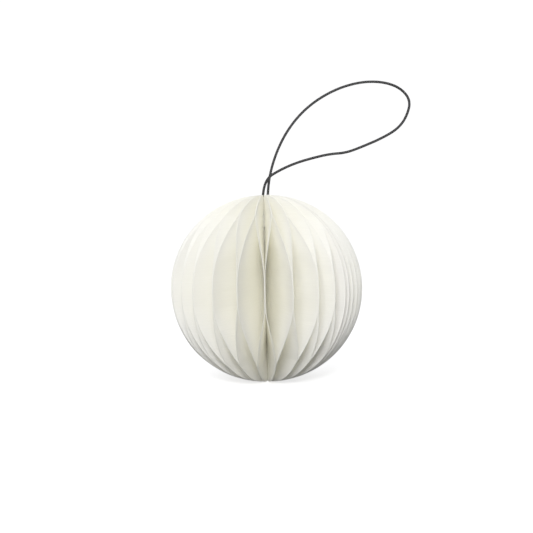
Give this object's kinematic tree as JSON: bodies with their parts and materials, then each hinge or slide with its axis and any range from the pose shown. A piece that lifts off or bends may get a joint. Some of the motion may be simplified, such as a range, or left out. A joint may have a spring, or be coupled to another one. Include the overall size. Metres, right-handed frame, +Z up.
{
  "type": "paper honeycomb ball",
  "caption": "Hanging ball of half-disc paper leaves that opens round its spine like a book, with magnet covers and a loop of cord.",
  "frame": {"origin": "the top pole, where the cord comes out of the ball", "axes": "+Z up along the ball's axis, -Y the front, +X to the right, the side that the cord loop leans to"},
  "size_m": [0.1278, 0.1002, 0.1559],
  "materials": {
    "paper": "matte",
    "cover_paper": "matte",
    "magnet": "satin",
    "cord": "satin"
  },
  "bodies": {
    "root": {"leaf_26": "paper", "hanging_cord": "cord", "cord_knot": "cord", "cord_sleeve": "paper"},
    "cover_right": {"cover_right": "cover_paper", "magnet_right_upper": "magnet", "magnet_right_lower": "magnet"},
    "leaf_01": {"leaf_01": "paper"},
    "leaf_02": {"leaf_02": "paper"},
    "leaf_03": {"leaf_03": "paper"},
    "leaf_04": {"leaf_04": "paper"},
    "leaf_05": {"leaf_05": "paper"},
    "leaf_06": {"leaf_06": "paper"},
    "leaf_07": {"leaf_07": "paper"},
    "leaf_08": {"leaf_08": "paper"},
    "leaf_09": {"leaf_09": "paper"},
    "leaf_10": {"leaf_10": "paper"},
    "leaf_11": {"leaf_11": "paper"},
    "leaf_12": {"leaf_12": "paper"},
    "leaf_13": {"leaf_13": "paper"},
    "leaf_14": {"leaf_14": "paper"},
    "leaf_15": {"leaf_15": "paper"},
    "leaf_16": {"leaf_16": "paper"},
    "leaf_17": {"leaf_17": "paper"},
    "leaf_18": {"leaf_18": "paper"},
    "leaf_19": {"leaf_19": "paper"},
    "leaf_20": {"leaf_20": "paper"},
    "leaf_21": {"leaf_21": "paper"},
    "leaf_22": {"leaf_22": "paper"},
    "leaf_23": {"leaf_23": "paper"},
    "leaf_24": {"leaf_24": "paper"},
    "leaf_25": {"leaf_25": "paper"},
    "leaf_27": {"leaf_27": "paper"},
    "leaf_28": {"leaf_28": "paper"},
    "leaf_29": {"leaf_29": "paper"},
    "leaf_30": {"leaf_30": "paper"},
    "leaf_31": {"leaf_31": "paper"},
    "leaf_32": {"leaf_32": "paper"},
    "leaf_33": {"leaf_33": "paper"},
    "leaf_34": {"leaf_34": "paper"},
    "leaf_35": {"leaf_35": "paper"},
    "leaf_36": {"leaf_36": "paper"},
    "leaf_37": {"leaf_37": "paper"},
    "leaf_38": {"leaf_38": "paper"},
    "leaf_39": {"leaf_39": "paper"},
    "leaf_40": {"leaf_40": "paper"},
    "leaf_41": {"leaf_41": "paper"},
    "leaf_42": {"leaf_42": "paper"},
    "leaf_43": {"leaf_43": "paper"},
    "leaf_44": {"leaf_44": "paper"},
    "leaf_45": {"leaf_45": "paper"},
    "leaf_46": {"leaf_46": "paper"},
    "leaf_47": {"leaf_47": "paper"},
    "leaf_48": {"leaf_48": "paper"},
    "leaf_49": {"leaf_49": "paper"},
    "leaf_50": {"leaf_50": "paper"},
    "cover_left": {"cover_left": "cover_paper", "magnet_left_upper": "magnet", "magnet_left_lower": "magnet"}
  },
  "joints": [
    {"name": "fold", "type": "hinge", "parent": "root", "child": "leaf_27", "pos_m": [-0.00105, 0.00092, -0.0485], "axis": [0, 0, 1], "range_deg": [-8.27, 0]},
    {"name": "leaf_28_hinge", "type": "hinge", "parent": "leaf_27", "child": "leaf_28", "pos_m": [-0.00115, 0.00077, -0.0485], "axis": [0, 0, 1], "range_deg": [-8.09, 0]},
    {"name": "leaf_29_hinge", "type": "hinge", "parent": "leaf_28", "child": "leaf_29", "pos_m": [-0.00124, 0.00062, -0.0485], "axis": [0, 0, 1], "range_deg": [-7.92, 0]},
    {"name": "leaf_30_hinge", "type": "hinge", "parent": "leaf_29", "child": "leaf_30", "pos_m": [-0.00132, 0.00045, -0.0485], "axis": [0, 0, 1], "range_deg": [-7.8, 0]},
    {"name": "leaf_31_hinge", "type": "hinge", "parent": "leaf_30", "child": "leaf_31", "pos_m": [-0.00138, 0.00028, -0.0485], "axis": [0, 0, 1], "range_deg": [-7.67, 0]},
    {"name": "leaf_32_hinge", "type": "hinge", "parent": "leaf_31", "child": "leaf_32", "pos_m": [-0.00142, 0.0001, -0.0485], "axis": [0, 0, 1], "range_deg": [-7.67, 0]},
    {"name": "leaf_33_hinge", "type": "hinge", "parent": "leaf_32", "child": "leaf_33", "pos_m": [-0.00145, -0.00008, -0.0485], "axis": [0, 0, 1], "range_deg": [-7.67, 0]},
    {"name": "leaf_34_hinge", "type": "hinge", "parent": "leaf_33", "child": "leaf_34", "pos_m": [-0.00146, -0.00027, -0.0485], "axis": [0, 0, 1], "range_deg": [-7.55, 0]},
    {"name": "leaf_35_hinge", "type": "hinge", "parent": "leaf_34", "child": "leaf_35", "pos_m": [-0.00145, -0.00046, -0.0485], "axis": [0, 0, 1], "range_deg": [-7.43, 0]},
    {"name": "leaf_36_hinge", "type": "hinge", "parent": "leaf_35", "child": "leaf_36", "pos_m": [-0.00142, -0.00065, -0.0485], "axis": [0, 0, 1], "range_deg": [-6.56, 0]},
    {"name": "leaf_37_hinge", "type": "hinge", "parent": "leaf_36", "child": "leaf_37", "pos_m": [-0.00137, -0.00083, -0.0485], "axis": [0, 0, 1], "range_deg": [-5.69, 0]},
    {"name": "leaf_38_hinge", "type": "hinge", "parent": "leaf_37", "child": "leaf_38", "pos_m": [-0.0013, -0.00101, -0.0485], "axis": [0, 0, 1], "range_deg": [-6.56, 0]},
    {"name": "leaf_39_hinge", "type": "hinge", "parent": "leaf_38", "child": "leaf_39", "pos_m": [-0.00122, -0.00119, -0.0485], "axis": [0, 0, 1], "range_deg": [-7.43, 0]},
    {"name": "leaf_40_hinge", "type": "hinge", "parent": "leaf_39", "child": "leaf_40", "pos_m": [-0.00111, -0.00135, -0.0485], "axis": [0, 0, 1], "range_deg": [-7.55, 0]},
    {"name": "leaf_41_hinge", "type": "hinge", "parent": "leaf_40", "child": "leaf_41", "pos_m": [-0.00099, -0.00149, -0.0485], "axis": [0, 0, 1], "range_deg": [-7.67, 0]},
    {"name": "leaf_42_hinge", "type": "hinge", "parent": "leaf_41", "child": "leaf_42", "pos_m": [-0.00084, -0.00162, -0.0485], "axis": [0, 0, 1], "range_deg": [-7.67, 0]},
    {"name": "leaf_43_hinge", "type": "hinge", "parent": "leaf_42", "child": "leaf_43", "pos_m": [-0.00068, -0.00172, -0.0485], "axis": [0, 0, 1], "range_deg": [-7.67, 0]},
    {"name": "leaf_44_hinge", "type": "hinge", "parent": "leaf_43", "child": "leaf_44", "pos_m": [-0.0005, -0.0018, -0.0485], "axis": [0, 0, 1], "range_deg": [-7.78, 0]},
    {"name": "leaf_45_hinge", "type": "hinge", "parent": "leaf_44", "child": "leaf_45", "pos_m": [-0.00032, -0.00184, -0.0485], "axis": [0, 0, 1], "range_deg": [-7.9, 0]},
    {"name": "leaf_46_hinge", "type": "hinge", "parent": "leaf_45", "child": "leaf_46", "pos_m": [-0.00013, -0.00185, -0.0485], "axis": [0, 0, 1], "range_deg": [-7.85, 0]},
    {"name": "leaf_47_hinge", "type": "hinge", "parent": "leaf_46", "child": "leaf_47", "pos_m": [0.00005, -0.00183, -0.0485], "axis": [0, 0, 1], "range_deg": [-7.8, 0]},
    {"name": "leaf_48_hinge", "type": "hinge", "parent": "leaf_47", "child": "leaf_48", "pos_m": [0.00023, -0.00178, -0.0485], "axis": [0, 0, 1], "range_deg": [-6.82, 0]},
    {"name": "leaf_49_hinge", "type": "hinge", "parent": "leaf_48", "child": "leaf_49", "pos_m": [0.00039, -0.0017, -0.0485], "axis": [0, 0, 1], "range_deg": [-5.84, 0]},
    {"name": "leaf_50_hinge", "type": "hinge", "parent": "leaf_49", "child": "leaf_50", "pos_m": [0.00054, -0.0016, -0.0485], "axis": [0, 0, 1], "range_deg": [-5.67, 0]},
    {"name": "cover_left_hinge", "type": "hinge", "parent": "leaf_50", "child": "cover_left", "pos_m": [0.00067, -0.00148, -0.0485], "axis": [0, 0, 1], "range_deg": [-6.56, 0]},
    {"name": "leaf_25_hinge", "type": "hinge", "parent": "root", "child": "leaf_25", "pos_m": [-0.00094, 0.00106, -0.0485], "axis": [0, 0, -1], "range_deg": [-8.27, 0]},
    {"name": "leaf_24_hinge", "type": "hinge", "parent": "leaf_25", "child": "leaf_24", "pos_m": [-0.00081, 0.00119, -0.0485], "axis": [0, 0, -1], "range_deg": [-8.27, 0]},
    {"name": "leaf_23_hinge", "type": "hinge", "parent": "leaf_24", "child": "leaf_23", "pos_m": [-0.00067, 0.00131, -0.0485], "axis": [0, 0, -1], "range_deg": [-8.27, 0]},
    {"name": "leaf_22_hinge", "type": "hinge", "parent": "leaf_23", "child": "leaf_22", "pos_m": [-0.00052, 0.00141, -0.0485], "axis": [0, 0, -1], "range_deg": [-8.27, 0]},
    {"name": "leaf_21_hinge", "type": "hinge", "parent": "leaf_22", "child": "leaf_21", "pos_m": [-0.00036, 0.0015, -0.0485], "axis": [0, 0, -1], "range_deg": [-8.27, 0]},
    {"name": "leaf_20_hinge", "type": "hinge", "parent": "leaf_21", "child": "leaf_20", "pos_m": [-0.00018, 0.00157, -0.0485], "axis": [0, 0, -1], "range_deg": [-8.27, 0]},
    {"name": "leaf_19_hinge", "type": "hinge", "parent": "leaf_20", "child": "leaf_19", "pos_m": [0, 0.00163, -0.0485], "axis": [0, 0, -1], "range_deg": [-8.27, 0]},
    {"name": "leaf_18_hinge", "type": "hinge", "parent": "leaf_19", "child": "leaf_18", "pos_m": [0.00019, 0.00166, -0.0485], "axis": [0, 0, -1], "range_deg": [-8.27, 0]},
    {"name": "leaf_17_hinge", "type": "hinge", "parent": "leaf_18", "child": "leaf_17", "pos_m": [0.00038, 0.00166, -0.0485], "axis": [0, 0, -1], "range_deg": [-8.27, 0]},
    {"name": "leaf_16_hinge", "type": "hinge", "parent": "leaf_17", "child": "leaf_16", "pos_m": [0.00057, 0.00164, -0.0485], "axis": [0, 0, -1], "range_deg": [-8.27, 0]},
    {"name": "leaf_15_hinge", "type": "hinge", "parent": "leaf_16", "child": "leaf_15", "pos_m": [0.00076, 0.00159, -0.0485], "axis": [0, 0, -1], "range_deg": [-8.27, 0]},
    {"name": "leaf_14_hinge", "type": "hinge", "parent": "leaf_15", "child": "leaf_14", "pos_m": [0.00094, 0.00151, -0.0485], "axis": [0, 0, -1], "range_deg": [-8.27, 0]},
    {"name": "leaf_13_hinge", "type": "hinge", "parent": "leaf_14", "child": "leaf_13", "pos_m": [0.0011, 0.00141, -0.0485], "axis": [0, 0, -1], "range_deg": [-8.27, 0]},
    {"name": "leaf_12_hinge", "type": "hinge", "parent": "leaf_13", "child": "leaf_12", "pos_m": [0.00124, 0.00128, -0.0485], "axis": [0, 0, -1], "range_deg": [-8.27, 0]},
    {"name": "leaf_11_hinge", "type": "hinge", "parent": "leaf_12", "child": "leaf_11", "pos_m": [0.00136, 0.00114, -0.0485], "axis": [0, 0, -1], "range_deg": [-7.72, 0]},
    {"name": "leaf_10_hinge", "type": "hinge", "parent": "leaf_11", "child": "leaf_10", "pos_m": [0.00145, 0.00097, -0.0485], "axis": [0, 0, -1], "range_deg": [-7.18, 0]},
    {"name": "leaf_09_hinge", "type": "hinge", "parent": "leaf_10", "child": "leaf_09", "pos_m": [0.00151, 0.0008, -0.0485], "axis": [0, 0, -1], "range_deg": [-6.31, 0]},
    {"name": "leaf_08_hinge", "type": "hinge", "parent": "leaf_09", "child": "leaf_08", "pos_m": [0.00155, 0.00062, -0.0485], "axis": [0, 0, -1], "range_deg": [-5.45, 0]},
    {"name": "leaf_07_hinge", "type": "hinge", "parent": "leaf_08", "child": "leaf_07", "pos_m": [0.00156, 0.00043, -0.0485], "axis": [0, 0, -1], "range_deg": [-4.7, 0]},
    {"name": "leaf_06_hinge", "type": "hinge", "parent": "leaf_07", "child": "leaf_06", "pos_m": [0.00155, 0.00025, -0.0485], "axis": [0, 0, -1], "range_deg": [-3.96, 0]},
    {"name": "leaf_05_hinge", "type": "hinge", "parent": "leaf_06", "child": "leaf_05", "pos_m": [0.00153, 0.00007, -0.0485], "axis": [0, 0, -1], "range_deg": [-3.59, 0]},
    {"name": "leaf_04_hinge", "type": "hinge", "parent": "leaf_05", "child": "leaf_04", "pos_m": [0.00149, -0.0001, -0.0485], "axis": [0, 0, -1], "range_deg": [-3.22, 0]},
    {"name": "leaf_03_hinge", "type": "hinge", "parent": "leaf_04", "child": "leaf_03", "pos_m": [0.00143, -0.00028, -0.0485], "axis": [0, 0, -1], "range_deg": [-3.12, 0]},
    {"name": "leaf_02_hinge", "type": "hinge", "parent": "leaf_03", "child": "leaf_02", "pos_m": [0.00137, -0.00044, -0.0485], "axis": [0, 0, -1], "range_deg": [-3.02, 0]},
    {"name": "leaf_01_hinge", "type": "hinge", "parent": "leaf_02", "child": "leaf_01", "pos_m": [0.00129, -0.00061, -0.0485], "axis": [0, 0, -1], "range_deg": [-3.04, 0]},
    {"name": "cover_right_hinge", "type": "hinge", "parent": "leaf_01", "child": "cover_right", "pos_m": [0.0012, -0.00076, -0.0485], "axis": [0, 0, -1], "range_deg": [-2.92, 0]}
  ],
  "couplings": [
    {"joint": "leaf_28_hinge", "follows": "fold", "ratio": 0.97904},
    {"joint": "leaf_29_hinge", "follows": "fold", "ratio": 0.95808},
    {"joint": "leaf_30_hinge", "follows": "fold", "ratio": 0.94311},
    {"joint": "leaf_31_hinge", "follows": "fold", "ratio": 0.92814},
    {"joint": "leaf_32_hinge", "follows": "fold", "ratio": 0.92814},
    {"joint": "leaf_33_hinge", "follows": "fold", "ratio": 0.92814},
    {"joint": "leaf_34_hinge", "follows": "fold", "ratio": 0.91317},
    {"joint": "leaf_35_hinge", "follows": "fold", "ratio": 0.8982},
    {"joint": "leaf_36_hinge", "follows": "fold", "ratio": 0.79341},
    {"joint": "leaf_37_hinge", "follows": "fold", "ratio": 0.68862},
    {"joint": "leaf_38_hinge", "follows": "fold", "ratio": 0.79341},
    {"joint": "leaf_39_hinge", "follows": "fold", "ratio": 0.8982},
    {"joint": "leaf_40_hinge", "follows": "fold", "ratio": 0.91317},
    {"joint": "leaf_41_hinge", "follows": "fold", "ratio": 0.92814},
    {"joint": "leaf_42_hinge", "follows": "fold", "ratio": 0.92814},
    {"joint": "leaf_43_hinge", "follows": "fold", "ratio": 0.92814},
    {"joint": "leaf_44_hinge", "follows": "fold", "ratio": 0.94162},
    {"joint": "leaf_45_hinge", "follows": "fold", "ratio": 0.95509},
    {"joint": "leaf_46_hinge", "follows": "fold", "ratio": 0.9491},
    {"joint": "leaf_47_hinge", "follows": "fold", "ratio": 0.94311},
    {"joint": "leaf_48_hinge", "follows": "fold", "ratio": 0.82485},
    {"joint": "leaf_49_hinge", "follows": "fold", "ratio": 0.70659},
    {"joint": "leaf_50_hinge", "follows": "fold", "ratio": 0.68563},
    {"joint": "cover_left_hinge", "follows": "fold", "ratio": 0.79341},
    {"joint": "leaf_25_hinge", "follows": "fold", "ratio": 1},
    {"joint": "leaf_24_hinge", "follows": "fold", "ratio": 1},
    {"joint": "leaf_23_hinge", "follows": "fold", "ratio": 1},
    {"joint": "leaf_22_hinge", "follows": "fold", "ratio": 1},
    {"joint": "leaf_21_hinge", "follows": "fold", "ratio": 1},
    {"joint": "leaf_20_hinge", "follows": "fold", "ratio": 1},
    {"joint": "leaf_19_hinge", "follows": "fold", "ratio": 1},
    {"joint": "leaf_18_hinge", "follows": "fold", "ratio": 1},
    {"joint": "leaf_17_hinge", "follows": "fold", "ratio": 1},
    {"joint": "leaf_16_hinge", "follows": "fold", "ratio": 1},
    {"joint": "leaf_15_hinge", "follows": "fold", "ratio": 1},
    {"joint": "leaf_14_hinge", "follows": "fold", "ratio": 1},
    {"joint": "leaf_13_hinge", "follows": "fold", "ratio": 1},
    {"joint": "leaf_12_hinge", "follows": "fold", "ratio": 1},
    {"joint": "leaf_11_hinge", "follows": "fold", "ratio": 0.93413},
    {"joint": "leaf_10_hinge", "follows": "fold", "ratio": 0.86826},
    {"joint": "leaf_09_hinge", "follows": "fold", "ratio": 0.76347},
    {"joint": "leaf_08_hinge", "follows": "fold", "ratio": 0.65868},
    {"joint": "leaf_07_hinge", "follows": "fold", "ratio": 0.56886},
    {"joint": "leaf_06_hinge", "follows": "fold", "ratio": 0.47904},
    {"joint": "leaf_05_hinge", "follows": "fold", "ratio": 0.43413},
    {"joint": "leaf_04_hinge", "follows": "fold", "ratio": 0.38922},
    {"joint": "leaf_03_hinge", "follows": "fold", "ratio": 0.37725},
    {"joint": "leaf_02_hinge", "follows": "fold", "ratio": 0.36527},
    {"joint": "leaf_01_hinge", "follows": "fold", "ratio": 0.36826},
    {"joint": "cover_right_hinge", "follows": "fold", "ratio": 0.35329}
  ]
}
